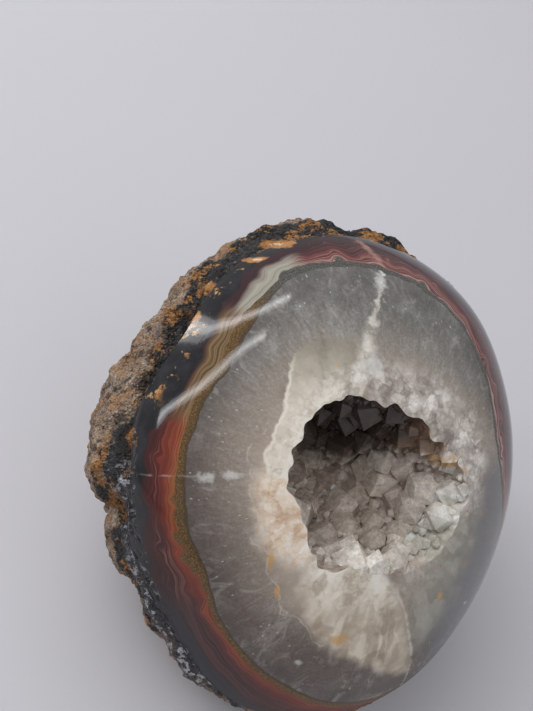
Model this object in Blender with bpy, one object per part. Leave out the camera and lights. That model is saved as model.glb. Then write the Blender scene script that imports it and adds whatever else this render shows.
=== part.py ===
"""A druzy agate: a rough nodule whose face is ground to a polished dome, with a hollow lined by quartz crystals.

The stone is one solid, and the crust of crystals that lines its hollow is another. Shapes are worked out in the
face frame, in millimetres: u to the right of the face, v up it and w out of it, about the middle of the nodule.
"around" is an angle round the face, from u towards v, and "down" is an angle from the face's middle. The stone
then leans back and stands on the flat of its underside.
"""

import math
import random

import bmesh
import bpy
from mathutils import Matrix, Vector, noise

MM = 0.001
SHARP_ANGLE = math.radians(35.0)

# Half width of the nodule at its widest ring, every 22.5 degrees round the face.
RING_RADII = (32.5, 34.0, 36.3, 36.7, 36.3, 33.4, 30.6, 30.0, 30.4, 29.3, 30.2, 34.4, 35.7, 34.9, 32.8, 31.9)
FACE_DEPTH = 23.0
BACK_DEPTH = 26.0
FACE_ROUNDNESS = 2.3
BACK_ROUNDNESS = 2.15

# Angle from the face's middle at which the polish ends and the rind begins, every 22.5 degrees round the face.
RIND_STARTS = (84, 82, 76, 73, 70.5, 75.5, 69.5, 70, 67, 74.5, 77.5, 77, 78, 80, 82, 84)
RIND_RISE = 4.0
RIND_BASE = 0.3
LUMP_HEIGHT, LUMP_SIZE = 1.9, 11.0
KNOB_HEIGHT, KNOB_SIZE = 1.1, 5.0
PIT_DEPTH, PIT_SIZE = 1.1, 6.5
PIT_LEVELS = (0.28, 0.5)

# The thick plate of outer crust left on the upper left, as angles round the face and down from its middle.
PLATE_SIDES = (88.0, 187.0)
PLATE_GAP = 7.0
PLATE_BACK = (116.0, 128.0)
PLATE_EDGE = 1.5
PLATE_WANDER, PLATE_WANDER_SIZE = 3.0, 9.0
PLATE_HEIGHT = 1.3

# How the stone stands: the lean of its face from level, its turn in its own plane, and its middle's height.
LEAN = math.radians(37.0)
SPIN = math.radians(-6.5)
MIDDLE_HEIGHT = 25.2

# The hollow: the middle of its mouth, the mouth's radii every 22.5 degrees, and how it deepens.
MOUTH_MIDDLE = (3.5, -0.5)
MOUTH_RADII = (14.9, 12.2, 10.6, 10.9, 11.2, 13.4, 12.9, 12.6, 12.1, 11.0, 12.2, 10.9, 10.9, 12.4, 13.6, 14.7)
HOLLOW_TOP = 26.0
HOLLOW_FLOOR = 9.0
HOLLOW_SHIFT = (-4.0, 2.2)
STEEP_WALL, GENTLE_WALL = 3.6, 1.5
GENTLE_TOWARDS = math.radians(-25.0)
GENTLE_SPREAD = 0.7
LID_SHARE = 0.16
LID_HEIGHT = 1.0
HOLLOW_SEGMENTS, HOLLOW_RINGS = 28, 15

# The crust of quartz on the hollow's wall, and the gap between it and the stone.
CRUST_THICKNESS = 2.0
CRUST_GAP = 0.3

# The quartz points: how many, their radii, how far apart they grow and how far they lean.
CRYSTAL_COUNT = 84
CRYSTAL_RADII = (1.6, 3.1)
CRYSTAL_SPACING = 2.7
CRYSTAL_LEAN = math.radians(26.0)
CRYSTAL_SEED = 12
CRYSTAL_TRIES = 6000
CRYSTAL_HEIGHTS = (0.15, 0.7)
CRYSTAL_TIP, CRYSTAL_BEVEL = 0.95, 0.25
ROOT_DEPTH = 1.0
HIGHEST_SINK = 0.1
FLOOR_LEAN = 1.25

AGATE_COLOUR, AGATE_ROUGHNESS = (0.33, 0.25, 0.23), 0.2
QUARTZ_COLOUR, QUARTZ_ROUGHNESS = (0.62, 0.57, 0.54), 0.15


def round_values(values, angle):
    """A smooth closed curve through values spread evenly round a full turn, read at angle."""
    place = (angle / math.tau * len(values)) % len(values)
    first = int(place)
    share = place - first
    before, start, end, after = (values[(first + step) % len(values)] for step in (-1, 0, 1, 2))
    bend = 2 * before - 5 * start + 4 * end - after + share * (3 * (start - end) + after - before)
    return start + 0.5 * share * (end - before + share * bend)


def smooth_step(low, high, value):
    share = min(max((value - low) / (high - low), 0.0), 1.0)
    return share * share * (3 - 2 * share)


def form_radius(around, down):
    """Distance from the nodule's middle to its smooth form, around the face and down from its middle."""
    facing = math.cos(down) >= 0
    depth, power = (FACE_DEPTH, FACE_ROUNDNESS) if facing else (BACK_DEPTH, BACK_ROUNDNESS)
    across = math.sin(down) / round_values(RING_RADII, around)
    along = abs(math.cos(down)) / depth
    return (across**power + along**power) ** (-1 / power)


def plate_share(around, down):
    """1 on the thick plate of outer crust and 0 off it, with broken edges."""
    across, depth = math.degrees(around), math.degrees(down)
    ragged = depth + PLATE_WANDER * noise.noise(Vector((across, depth, 0)) / PLATE_WANDER_SIZE)
    top = round_values(RIND_STARTS, around) + PLATE_GAP
    first, last = PLATE_SIDES
    sides = smooth_step(first - PLATE_EDGE, first + PLATE_EDGE, across)
    sides -= smooth_step(last - PLATE_EDGE, last + PLATE_EDGE, across)
    return sides * (smooth_step(top, top + 2 * PLATE_EDGE, ragged) - smooth_step(*PLATE_BACK, ragged))


def rind_relief(around, down, point):
    """How far the rind stands out from the smooth form: lumps, knobs, pits and the plate of outer crust."""
    start = round_values(RIND_STARTS, around)
    share = smooth_step(start, start + RIND_RISE, math.degrees(down))
    if share == 0:
        return 0.0
    lumps = LUMP_HEIGHT * noise.noise(point / LUMP_SIZE)
    knobs = KNOB_HEIGHT * noise.noise(point / KNOB_SIZE + Vector((7, 0, 0)))
    pits = PIT_DEPTH * smooth_step(*PIT_LEVELS, noise.noise(point / PIT_SIZE + Vector((0, 13, 0))))
    return share * (RIND_BASE + lumps + knobs - pits) + PLATE_HEIGHT * plate_share(around, down)


def standing():
    """Turns the face frame into the frame the stone stands in, with +Z up and its face towards -Y."""
    return Matrix.Rotation(LEAN, 4, "X") @ Matrix.Rotation(SPIN, 4, "Z")


def stone_point(direction):
    """The stone's surface along a direction of the face frame."""
    around = math.atan2(direction.y, direction.x) % math.tau
    down = math.acos(max(-1.0, min(1.0, direction.z)))
    point = direction * form_radius(around, down)
    return point + direction * rind_relief(around, down, point)


def new_object(name, mesh_data, collection):
    made = bpy.data.objects.new(name, mesh_data)
    collection.objects.link(made)
    return made


def mesh_from(shape, name):
    """Stores a bmesh as mesh data, its faces turned outwards."""
    bmesh.ops.recalc_face_normals(shape, faces=shape.faces)
    data = bpy.data.meshes.new(name)
    shape.to_mesh(data)
    shape.free()
    return data


def make_nodule(collection):
    """The whole stone before it is hollowed, ground flat where it stands."""
    shape = bmesh.new()
    bmesh.ops.create_icosphere(shape, subdivisions=5, radius=1.0)
    turn = standing()
    for vertex in shape.verts:
        vertex.co = turn @ stone_point(vertex.co.normalized())
        vertex.co.z = max(vertex.co.z, -MIDDLE_HEIGHT)
    return new_object("nodule", mesh_from(shape, "nodule"), collection)


def hollow_point(around, sink, outside):
    """A point of the hollow's wall: sink runs from 0 above the mouth to 1 on the floor, outside moves it outwards."""
    gentle = max(0.0, math.cos(around - GENTLE_TOWARDS)) ** GENTLE_SPREAD
    power = STEEP_WALL + (GENTLE_WALL - STEEP_WALL) * gentle
    reach = (round_values(MOUTH_RADII, around) + outside) * math.sqrt(max(0.0, 1 - sink**power))
    height = HOLLOW_TOP + (HOLLOW_FLOOR - outside - HOLLOW_TOP) * sink
    u, v = (middle + shift * (sink - LID_SHARE) for middle, shift in zip(MOUTH_MIDDLE, HOLLOW_SHIFT))
    return Vector((u + reach * math.cos(around), v + reach * math.sin(around), height))


def make_plug(name, outside, collection):
    """The hollow's own shape as a closed solid, its walls moved out by outside."""
    shape = bmesh.new()
    bmesh.ops.create_uvsphere(shape, u_segments=HOLLOW_SEGMENTS, v_segments=HOLLOW_RINGS, radius=1.0)
    turn = standing()
    lid_middle = Vector((*MOUTH_MIDDLE, HOLLOW_TOP + LID_HEIGHT))
    for vertex in shape.verts:
        around = math.atan2(vertex.co.y, vertex.co.x)
        share = math.acos(max(-1.0, min(1.0, vertex.co.z))) / math.pi
        if share < LID_SHARE:
            place = lid_middle.lerp(hollow_point(around, 0.0, outside), share / LID_SHARE)
        else:
            place = hollow_point(around, (share - LID_SHARE) / (1 - LID_SHARE), outside)
        vertex.co = turn @ place
    return new_object(name, mesh_from(shape, name), collection)


def inward_at(around, sink):
    """The direction straight out of the hollow's wall, into the hollow."""
    step = 0.01
    along = hollow_point(around, min(sink + step, 1.0), 0.0) - hollow_point(around, max(sink - step, 0.0), 0.0)
    across = hollow_point(around + step, sink, 0.0) - hollow_point(around - step, sink, 0.0)
    inward = across.cross(along)
    if inward.length < 1e-9:
        return Vector((0, 0, 1))
    return inward.normalized()


def crystal_spots(draw):
    """Where crystals grow: spots on the hollow's wall, kept apart, each with the direction it points in."""
    spots = []
    for _ in range(CRYSTAL_TRIES):
        around = draw.uniform(0, math.tau)
        sink = 1 - (1 - HIGHEST_SINK) * draw.random() ** FLOOR_LEAN
        here = hollow_point(around, sink, 0.0)
        if all((here - other).length > CRYSTAL_SPACING for other, _ in spots):
            spots.append((here, inward_at(around, sink)))
        if len(spots) == CRYSTAL_COUNT:
            break
    return spots


def add_crystal(shape, here, axis, radius, height, twist):
    """A six-sided prism whose pointed end has faces of alternating slope, as quartz has."""
    prism = bmesh.ops.create_cone(
        shape, cap_ends=True, cap_tris=False, segments=6, radius1=radius, radius2=radius, depth=ROOT_DEPTH + height
    )
    corners = prism["verts"]
    faces = {face for corner in corners for face in corner.link_faces}
    top = max(faces, key=lambda face: face.calc_center_median().z)
    for index, corner in enumerate(top.verts):
        corner.co.z -= CRYSTAL_BEVEL * radius * (index % 2)
    tip = bmesh.ops.poke(shape, faces=[top])["verts"][0]
    tip.co.z += CRYSTAL_TIP * radius
    turn = axis.to_track_quat("Z", "Y").to_matrix().to_4x4() @ Matrix.Rotation(twist, 4, "Z")
    place = Matrix.Translation(here) @ turn @ Matrix.Translation((0, 0, (height - ROOT_DEPTH) / 2))
    bmesh.ops.transform(shape, matrix=place, verts=[*corners, tip])


def make_crystals(collection):
    """Every crystal as a closed shape of its own, overlapping its neighbours."""
    draw = random.Random(CRYSTAL_SEED)
    shape = bmesh.new()
    turn = standing()
    for here, inward in crystal_spots(draw):
        aside = Vector([draw.uniform(-1, 1) for _ in range(3)]).cross(inward)
        axis = (inward + aside * math.tan(CRYSTAL_LEAN) * draw.random()).normalized()
        radius = draw.triangular(*CRYSTAL_RADII, CRYSTAL_RADII[0] * 1.3)
        height = radius * draw.uniform(*CRYSTAL_HEIGHTS)
        add_crystal(shape, turn @ here, turn.to_3x3() @ axis, radius, height, draw.uniform(0, math.pi / 3))
    return new_object("crystals", mesh_from(shape, "crystals"), collection)


def combine(kept, other, operation, name, collection):
    """The outcome of one Boolean, as a new object."""
    made = new_object(name, kept.data.copy(), collection)
    step = made.modifiers.new(operation.lower(), "BOOLEAN")
    step.operation = operation
    step.object = other
    step.use_self = True
    bpy.context.view_layer.update()
    evaluated = made.evaluated_get(bpy.context.evaluated_depsgraph_get())
    result = bpy.data.meshes.new_from_object(evaluated)
    made.modifiers.clear()
    made.data = result
    return made


def keep_largest_body(made):
    """Removes specks that a Boolean leaves apart from the main body."""
    shape = bmesh.new()
    shape.from_mesh(made.data)
    left = set(shape.verts)
    bodies = []
    while left:
        front = [left.pop()]
        body = set(front)
        while front:
            for edge in front.pop().link_edges:
                for corner in edge.verts:
                    if corner in left:
                        left.remove(corner)
                        body.add(corner)
                        front.append(corner)
        bodies.append(body)
    largest = max(bodies, key=len)
    bmesh.ops.delete(shape, geom=[corner for corner in shape.verts if corner not in largest], context="VERTS")
    shape.to_mesh(made.data)
    shape.free()


def finish_part(made, collection, offset, colour, roughness):
    """Puts a finished solid in the object's collection at its real size, with its material."""
    made.data.transform(Matrix.Scale(MM, 4) @ Matrix.Translation(offset))
    for owner in list(made.users_collection):
        owner.objects.unlink(made)
    collection.objects.link(made)
    finish = bpy.data.materials.new(made.name)
    finish.use_nodes = True
    surface = finish.node_tree.nodes["Principled BSDF"]
    surface.inputs["Base Color"].default_value = (*colour, 1)
    surface.inputs["Roughness"].default_value = roughness
    made.data.materials.clear()
    made.data.materials.append(finish)
    made.data.shade_smooth()
    made.data.set_sharp_from_angle(angle=SHARP_ANGLE)


def middle_offset(made):
    """The move that centres the stone over the origin and stands it on z = 0."""
    corners = [vertex.co for vertex in made.data.vertices]
    low = Vector([min(corner[axis] for corner in corners) for axis in range(3)])
    high = Vector([max(corner[axis] for corner in corners) for axis in range(3)])
    return Vector((-(low.x + high.x) / 2, -(low.y + high.y) / 2, -low.z))


def new_collection(name):
    made = bpy.data.collections.new(name)
    bpy.context.scene.collection.children.link(made)
    return made


def main():
    for old in list(bpy.data.objects):
        bpy.data.objects.remove(old)
    parts = new_collection("druzy_agate")
    cutters = new_collection("cutters")

    nodule = make_nodule(cutters)
    seat = make_plug("seat", CRUST_THICKNESS, cutters)
    plug = make_plug("plug", CRUST_THICKNESS - CRUST_GAP, cutters)
    space = make_plug("space", 0.0, cutters)
    crystals = make_crystals(cutters)

    stone = combine(nodule, seat, "DIFFERENCE", "agate_nodule", cutters)
    opening = combine(space, crystals, "DIFFERENCE", "opening", cutters)
    keep_largest_body(opening)
    lining = combine(plug, nodule, "INTERSECT", "lining", cutters)
    crust = combine(lining, opening, "DIFFERENCE", "crystal_crust", cutters)
    keep_largest_body(crust)

    offset = middle_offset(nodule)
    finish_part(stone, parts, offset, AGATE_COLOUR, AGATE_ROUGHNESS)
    finish_part(crust, parts, offset, QUARTZ_COLOUR, QUARTZ_ROUGHNESS)
    for helper in cutters.objects:
        helper.hide_render = True
        helper.display_type = "WIRE"


main()
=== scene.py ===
"""The looks of a druzy agate: a rough nodule whose polished, banded face surrounds a hollow of crystals.

Shapes are worked out in the face frame, in millimetres: u to the right of the polished face, v up it and
w out of it. "around" is an angle round the face from u towards v, and "down" is an angle from the face's
middle. Both are in radians in the functions. Angles among the named values are in degrees, unless they are
turned to radians where they are named.
"""

import math
import random

import bmesh
import bpy
import numpy as np
from mathutils import Matrix, Vector, noise


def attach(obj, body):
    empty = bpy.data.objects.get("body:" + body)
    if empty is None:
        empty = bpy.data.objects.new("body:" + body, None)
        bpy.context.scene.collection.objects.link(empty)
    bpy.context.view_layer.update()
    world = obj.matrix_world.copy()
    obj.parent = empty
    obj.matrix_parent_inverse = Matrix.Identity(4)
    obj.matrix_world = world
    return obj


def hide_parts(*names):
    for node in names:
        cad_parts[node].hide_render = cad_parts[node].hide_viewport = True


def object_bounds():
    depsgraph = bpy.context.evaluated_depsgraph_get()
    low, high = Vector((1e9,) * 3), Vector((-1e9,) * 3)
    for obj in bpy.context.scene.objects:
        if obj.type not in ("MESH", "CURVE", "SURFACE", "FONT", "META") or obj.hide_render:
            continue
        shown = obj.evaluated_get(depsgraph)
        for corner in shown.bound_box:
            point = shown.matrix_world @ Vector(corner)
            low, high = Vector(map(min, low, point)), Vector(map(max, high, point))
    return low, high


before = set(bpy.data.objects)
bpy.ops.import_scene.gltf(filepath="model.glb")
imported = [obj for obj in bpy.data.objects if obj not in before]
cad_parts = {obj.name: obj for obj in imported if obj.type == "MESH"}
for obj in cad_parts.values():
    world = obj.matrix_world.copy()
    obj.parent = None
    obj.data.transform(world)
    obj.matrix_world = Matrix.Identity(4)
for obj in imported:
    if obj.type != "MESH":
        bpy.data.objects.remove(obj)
cad_low, cad_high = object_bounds()

MM = 0.001
TURN = math.tau

# The nodule's form, as in the solid.
RING_RADII = (32.5, 34.0, 36.3, 36.7, 36.3, 33.4, 30.6, 30.0, 30.4, 29.3, 30.2, 34.4, 35.7, 34.9, 32.8, 31.9)
FACE_DEPTH, BACK_DEPTH = 23.0, 26.0
FACE_ROUNDNESS, BACK_ROUNDNESS = 2.3, 2.15
RIND_STARTS = (84, 82, 77, 77, 74.5, 75.5, 69.5, 70, 67, 74.5, 77.5, 77, 78, 80, 82, 84)
RIND_RISE, RIND_BASE = 4.0, 0.3
LUMP_HEIGHT, LUMP_SIZE = 1.9, 11.0
KNOB_HEIGHT, KNOB_SIZE = 1.1, 5.0
PIT_DEPTH, PIT_SIZE, PIT_LEVELS = 1.1, 6.5, (0.28, 0.5)
PLATE_SIDES, PLATE_GAP, PLATE_BACK, PLATE_EDGE = (88.0, 187.0), 7.0, (116.0, 128.0), 1.5
PLATE_WANDER, PLATE_WANDER_SIZE, PLATE_HEIGHT = 3.0, 9.0, 1.3
LEAN, SPIN = math.radians(37.0), math.radians(-6.5)
MIDDLE = Vector((-0.843, -1.121, 25.2))
STANDING = Matrix.Rotation(LEAN, 3, "X") @ Matrix.Rotation(SPIN, 3, "Z")

# The hollow, as in the solid.
MOUTH_MIDDLE = (3.5, -0.5)
MOUTH_RADII = (14.9, 12.2, 10.6, 10.9, 11.2, 13.4, 12.9, 12.6, 12.1, 11.0, 12.2, 10.9, 10.9, 12.4, 13.6, 14.7)
HOLLOW_TOP, HOLLOW_FLOOR, HOLLOW_SHIFT = 26.0, 9.0, (-4.0, 2.2)
STEEP_WALL, GENTLE_WALL = 3.6, 1.5
GENTLE_TOWARDS, GENTLE_SPREAD = math.radians(-25.0), 0.7
LID_SHARE = 0.16
CRUST_THICKNESS = 2.0
CRYSTAL_COUNT, CRYSTAL_RADII, CRYSTAL_SPACING = 84, (1.6, 3.1), 2.7
CRYSTAL_LEAN, CRYSTAL_SEED, CRYSTAL_TRIES = math.radians(26.0), 12, 6000
CRYSTAL_HEIGHTS, CRYSTAL_TIP, CRYSTAL_BEVEL = (0.15, 0.7), 0.95, 0.25
USUAL_LARGE, USUAL_SMALL = 1.3, 1.4
ROOT_DEPTH, HIGHEST_SINK, FLOOR_LEAN = 1.0, 0.1, 1.25

# The finer relief that only the looks have.
GRAIN_SIZES, GRAIN_HEIGHTS = (2.8, 1.3, 0.6), (0.55, 0.4, 0.15)
GRAIN_SINK, GRAIN_RISE = 0.3, 1.2
# Dents and knobs of the rind by the rim: degrees round the face, width in degrees, height in millimetres.
RIM_KNOBS = ((79, 3.5, -1.4), (87, 4, 1.4), (127, 4, -0.7), (139, 3, -0.6), (160, 9, -0.9), (186, 4, -0.8),
             (201, 6, 0.4), (219, 13, 1.3), (245, 10, 0.6))
RIM_KNOB_RISE, RIM_KNOB_ENDS = 3.0, (30.0, 55.0)
# The pitted edge of the polish: where round the face it starts and stops, and which bands it takes in.
GLOSS_STARTS, GLOSS_STOPS = (168.0, 182.0), (238.0, 262.0)
EDGE_PIT_DEPTH, EDGE_PIT_SIZES, EDGE_PIT_LEVELS = 0.55, (1.5, 0.7), ((0.05, 0.4), (0.1, 0.4))
PITTED_BANDS, PITTED_END, SMALL_PIT_SHARE = (3.15, 3.55), (4.0, 3.85), 0.6
PITTED_WANDER, PITTED_WANDER_SIZE = 0.5, 4.0
CREVICE_STARTS, CREVICE_STOPS = (108.0, 120.0), (174.0, 182.0)
CREVICE_DEPTH, CREVICE_AT, CREVICE_WIDTH = 1.3, 4.5, 2.2
# The waves of the crevice: height in degrees, pace round the face and start.
CREVICE_WAVES = ((1.4, 0.21, 0), (0.8, 0.53, 1))
JAG_HEIGHTS, JAG_SIZES, JAG_FADE = (0.7, 0.35), (3.6, 1.5), 3
WALL_BUMP, WALL_BUMP_SIZE, WALL_BUMP_RISE = 0.5, 1.4, 0.12
SMALL_COUNT, SMALL_RADII, SMALL_SPACING, SMALL_SEED = 480, (0.4, 1.3), 0.95, 5
SMALL_TRIES, WORN_EDGE = 14000, 0.05
# The second value is the tone above which a crystal is coloured white as a painted glint; the large crystals
# stay below it.
FLUSH_GAP, GLINT_TONE = 0.02, 0.92
LIP_CLEARANCE, GENTLE_CLEARANCE, SLOPE_TOWARDS = 1.2, 0.25, math.radians(-35)
STEEPEST, STEEPNESS_FALL = 1.2, 3.0

# Grid sizes.
COLUMNS = 640
FACE_ROWS = (34, 10, 22, 24)
GRAY_SPREAD = 8.0
RIND_ROWS, RIND_EVEN, RIND_CURVE = 140, 0.45, 2.2
LIP_ROWS, WALL_ROWS = 8, 44
DEEPEST_EDGE, DEEPEST_ROW = 0.6, 0.9995
HALVINGS, PROBE = 40, 0.01

# Where the shading of the polish is turned up, round the face and down from its middle.
FLAT_EDGE_PULL = 0.55
FLAT_EDGE_STARTS, FLAT_EDGE_STOPS, FLAT_EDGE_DOWN = (185.0, 215.0), (285.0, 320.0), (50.0, 78.0)
SHARP_ANGLE = math.radians(40)

# Places in the hollow, each with how far it reaches along u, v and w.
STAIN = ((10.0, 8.0, 18.5), (9.5, 6.0, 9.0))
# Painted light: crystals low at the right, where light falls into the hollow, coloured paler.
PAINTED_LIGHT_SPOT = ((15.0, -3.5, 20.0), (3.8, 3.4, 5.0))
GREEN_SPOT = ((13.5, -9.0, 19.5), (6.0, 5.0, 6.0))
RUST_SPOT = ((14.2, 3.0, 19.5), (3.8, 1.3, 3.5))
# Painted shade: the upper left of the hollow, under the overhanging lip, where the crystals are coloured dark
# smoky brown.
PAINTED_SHADE_SPOT = ((0.5, 8.8, 16.0), (12.5, 8.5, 15.0))

# Where the bands of the polished face end: degrees down from its middle, every 15 degrees round it.
GRAY_ENDS = (55, 53, 56, 59, 62, 62.5, 62.5, 61, 55.5, 51.5, 51.5, 51,
             50.4, 51, 51, 55.5, 57.5, 60, 65, 69, 72, 72, 68, 61)
OCHRE_ENDS = (56, 54, 57, 60, 63, 64, 64, 63, 59, 54.5, 54, 53.5,
              53, 53.8, 53.2, 57.4, 59.2, 61.8, 66.8, 70.8, 73.8, 74, 70, 63)
RED_ENDS = (66, 67, 69, 71, 72.5, 74, 73.5, 71.5, 67, 61, 59, 63,
            62.8, 66, 69.5, 74.5, 76, 79, 80, 80, 80, 79, 77, 72)
# How far the charcoal edge reaches over the rind, in degrees, every 15 degrees round the face.
CHARCOAL_WIDTHS = (5, 5, 6, 7, 8, 11, 14, 14, 13, 12, 10, 9, 13, 17, 16, 13, 11, 10, 9, 8, 7, 6, 5, 5)

# Areas, lines and spots of the polished face, each under the name of its mark, with (u, v) in millimetres.
AREAS = {
    "cream": ((3, 20.5), (-1.5, 19.7), (-4, 19.7), (-6, 18.8), (-7.5, 17.3), (-8.5, 16), (-9.2, 13),
              (-9.3, 11), (-10.2, 8.5), (-11.2, 7), (-12, 4.5), (-12, 2), (-9, 1), (-5, 2), (-3, 6),
              (0, 10), (2, 14)),
    "warm": ((-9.2, 11.4), (-11.2, 9.5), (-12.2, 7.4), (-14.4, 5.2), (-13.5, 2.5), (-13.9, -1), (-12.9, -3),
             (-13.5, -5.6), (-12.3, -7.3), (-11.1, -8), (-11.5, -10), (-10.1, -12.5), (-9.5, -15.5),
             (-7.2, -16.6), (-5.4, -19.5), (-2.8, -21), (2, -19), (2, 0), (-4, 9)),
    "peach": ((-13.5, 1.5), (-11.7, 3.4), (-7.7, 2.7), (-5, -2.3), (-4.5, -7.5), (-6.3, -10.3), (-9.4, -9.3),
              (-12.3, -7.3), (-13.5, -2.8)),
    "fan": ((-6.3, -8), (-1.8, -8), (2.4, -9), (5.5, -13.5), (8, -17.5), (9.5, -22.5), (10.6, -26.5),
            (6.2, -26), (0.6, -23), (-3.5, -20.5), (-6.5, -16.6), (-7.5, -12.5)),
    "veil": ((1, 14.5), (6, 15.5), (12, 14.5), (17, 11.5), (20, 6), (20, 1), (18.5, -4), (17, -9), (14, -13),
             (9, -15.5), (7, -12), (12, -7), (14, -1), (13, 4), (9, 8), (4, 10)),
    "slate": ((19.2, 1.4), (18.9, -2.7), (17.8, -8.2), (15.8, -14.3), (12.4, -20.3), (13.1, -29.7), (20, -36),
              (38, -30), (38, 4)),
    "green": ((15, -6), (19, -6), (18, -12), (15, -18), (11, -22), (9, -19), (10, -14), (13, -11)),
}
LINES = {
    "long_crack": ((4.4, 35.5), (5.8, 33), (7.0, 30.5), (6.8, 28.6), (5.6, 25.9), (4, 22.4), (2.9, 20.4),
                   (1.7, 16.4), (-1.5, 11.3)),
    "side_crack": ((-27.4, 2), (-25.3, 1.8), (-21.9, 1.9), (-20.8, 1.9), (-14.5, 2.3)),
    "fan_edge": ((5.5, -13.5), (7.4, -16.5), (8.4, -19.5), (10.1, -23.8), (10.8, -28.5), (11.3, -32.2)),
}
CRACK_WIDTHS, CRACK_WIDENS = (0.35, 2.1), (27.0, 14.0)
# Each spot has its place and its half width and half height.
SPOTS = {
    "white_spots": ((-19, 1.9, 1.7, 0.9), (-16, 2.1, 1.6, 0.8), (6.0, 27, 1.5, 2.3), (2.8, 16.0, 1.8, 2.6),
                    (19.2, -17.8, 0.7, 0.5), (-6.7, -22.6, 0.8, 0.5), (-3.2, -17.5, 0.6, 0.6)),
    "orange_spots": ((-1.7, -19.7, 1.5, 1.2), (13.1, -15.3, 0.6, 1.0), (-11.2, -8.6, 0.6, 1.6),
                     (-10.2, -12.6, 0.45, 1.6), (15.6, 1.6, 1.5, 0.6), (24.6, 2.8, 1.0, 2.4),
                     (-2.1, 15.8, 0.4, 0.4), (-12.9, -4.5, 0.3, 1.2)),
    "inclusions": ((-6.0, 33.0, 2.3, 0.9), (-9.5, 30.5, 1.7, 0.5), (-16, 27.2, 0.8, 1.0),
                   (-18.3, 22.8, 0.7, 1.1)),
}

# View and lights, from the nodule's middle, in metres unless a name says otherwise.
CAMERA_PLACE = Vector((-0.04242, -0.06162, 0.115435))
CAMERA_BACK = Vector((-0.29019, -0.56147, 0.77494))
CAMERA_UP = Vector((0.11375, 0.78381, 0.61049))
FOCAL_PIXELS, IMAGE_HEIGHT, SENSOR_MM = 900, 711, 36
FLOOR_SIZE, FLOOR_PARTS = 6.0, 8
STRIP_DISTANCE = 0.5
LEFT_STRIP = ((-67, 17), (-66, 43), (-56, 61), (-45, 68))
RIGHT_STRIP = ((-30, 0), (-40, 27), (-40, 42), (-30, 54), (-6, 60))
STRIP_WIDTHS, STRIP_RADIANCES = (0.021, 0.05), (6.5, 2.6)
KEY_LIGHT = ((-8, 58), 0.9, 0.9, 1.55)
FILL_LIGHT = ((150, 55), 0.9, 0.9, 0.5)
SKY_COLOUR, SKY_STRENGTH = (0.80, 0.82, 0.86), 0.5


# Curves and distances.


def round_values(values, around):
    """A smooth closed curve through values spread evenly round a full turn, read at each angle."""
    values = np.asarray(values, float)
    place = (around / TURN * len(values)) % len(values)
    first = place.astype(int)
    share = place - first
    before, start, end, after = (values[(first + step) % len(values)] for step in (-1, 0, 1, 2))
    bend = 2 * before - 5 * start + 4 * end - after + share * (3 * (start - end) + after - before)
    return start + 0.5 * share * (end - before + share * bend)


def smooth_step(low, high, value):
    share = np.clip((value - low) / (high - low), 0, 1)
    return share * share * (3 - 2 * share)


def between(starts, stops, value):
    """1 between two ends, rising over starts and falling over stops."""
    return smooth_step(*starts, value) * (1 - smooth_step(*stops, value))


def rough(points, size, shift=(0, 0, 0)):
    """Smooth noise from -1 to 1 at each point, with features of this size."""
    places = np.asarray(points, float) / size + np.asarray(shift, float)
    return np.array([noise.noise(place) for place in places.reshape(-1, 3)]).reshape(places.shape[:-1])


def line_distance(spots, line, closed=False):
    """Distance of each (u, v) to a line of points."""
    nearest = np.full(spots.shape[:-1], 1e9)
    ends = np.asarray(line, float)
    after = np.roll(ends, -1, axis=0)
    count = len(ends) if closed else len(ends) - 1
    for start, end in zip(ends[:count], after[:count]):
        along = end - start
        share = np.clip(((spots - start) @ along) / (along @ along), 0, 1)
        nearest = np.minimum(nearest, np.linalg.norm(spots - start - share[..., None] * along, axis=-1))
    return nearest


def area_depth(spots, outline):
    """Distance of each (u, v) to an outline: positive inside it and negative outside."""
    u, v = spots[..., 0], spots[..., 1]
    inside = np.zeros(u.shape, bool)
    ends = np.asarray(outline, float)
    for (u1, v1), (u2, v2) in zip(ends, np.roll(ends, -1, axis=0)):
        if v1 == v2:
            continue
        crosses = ((v1 > v) != (v2 > v)) & (u < (u2 - u1) * (v - v1) / (v2 - v1) + u1)
        inside ^= crosses
    return np.where(inside, 1, -1) * line_distance(spots, outline, closed=True)


def spot_strength(spots, ellipses):
    """1 in the middle of the nearest spot, falling to 0 at its edge and below 0 outside."""
    strength = np.full(spots.shape[:-1], -1.0)
    for u, v, half_width, half_height in ellipses:
        away = np.hypot((spots[..., 0] - u) / half_width, (spots[..., 1] - v) / half_height)
        strength = np.maximum(strength, 1 - away)
    return strength


# The stone's form.


def form_radius(around, down):
    """Distance from the nodule's middle to its smooth form."""
    facing = np.cos(down) >= 0
    depth = np.where(facing, FACE_DEPTH, BACK_DEPTH)
    power = np.where(facing, FACE_ROUNDNESS, BACK_ROUNDNESS)
    across = np.sin(down) / round_values(RING_RADII, around)
    along = np.abs(np.cos(down)) / depth
    return (across**power + along**power) ** (-1 / power)


def directions(around, down):
    return np.stack([np.sin(down) * np.cos(around), np.sin(down) * np.sin(around), np.cos(down)], axis=-1)


def form_points(around, down):
    return directions(around, down) * form_radius(around, down)[..., None]


def angles_of(points):
    """Angle round the face and angle down from its middle, for points of the face frame."""
    around = np.arctan2(points[..., 1], points[..., 0]) % TURN
    down = np.arccos(np.clip(points[..., 2] / np.linalg.norm(points, axis=-1), -1, 1))
    return around, down


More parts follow.
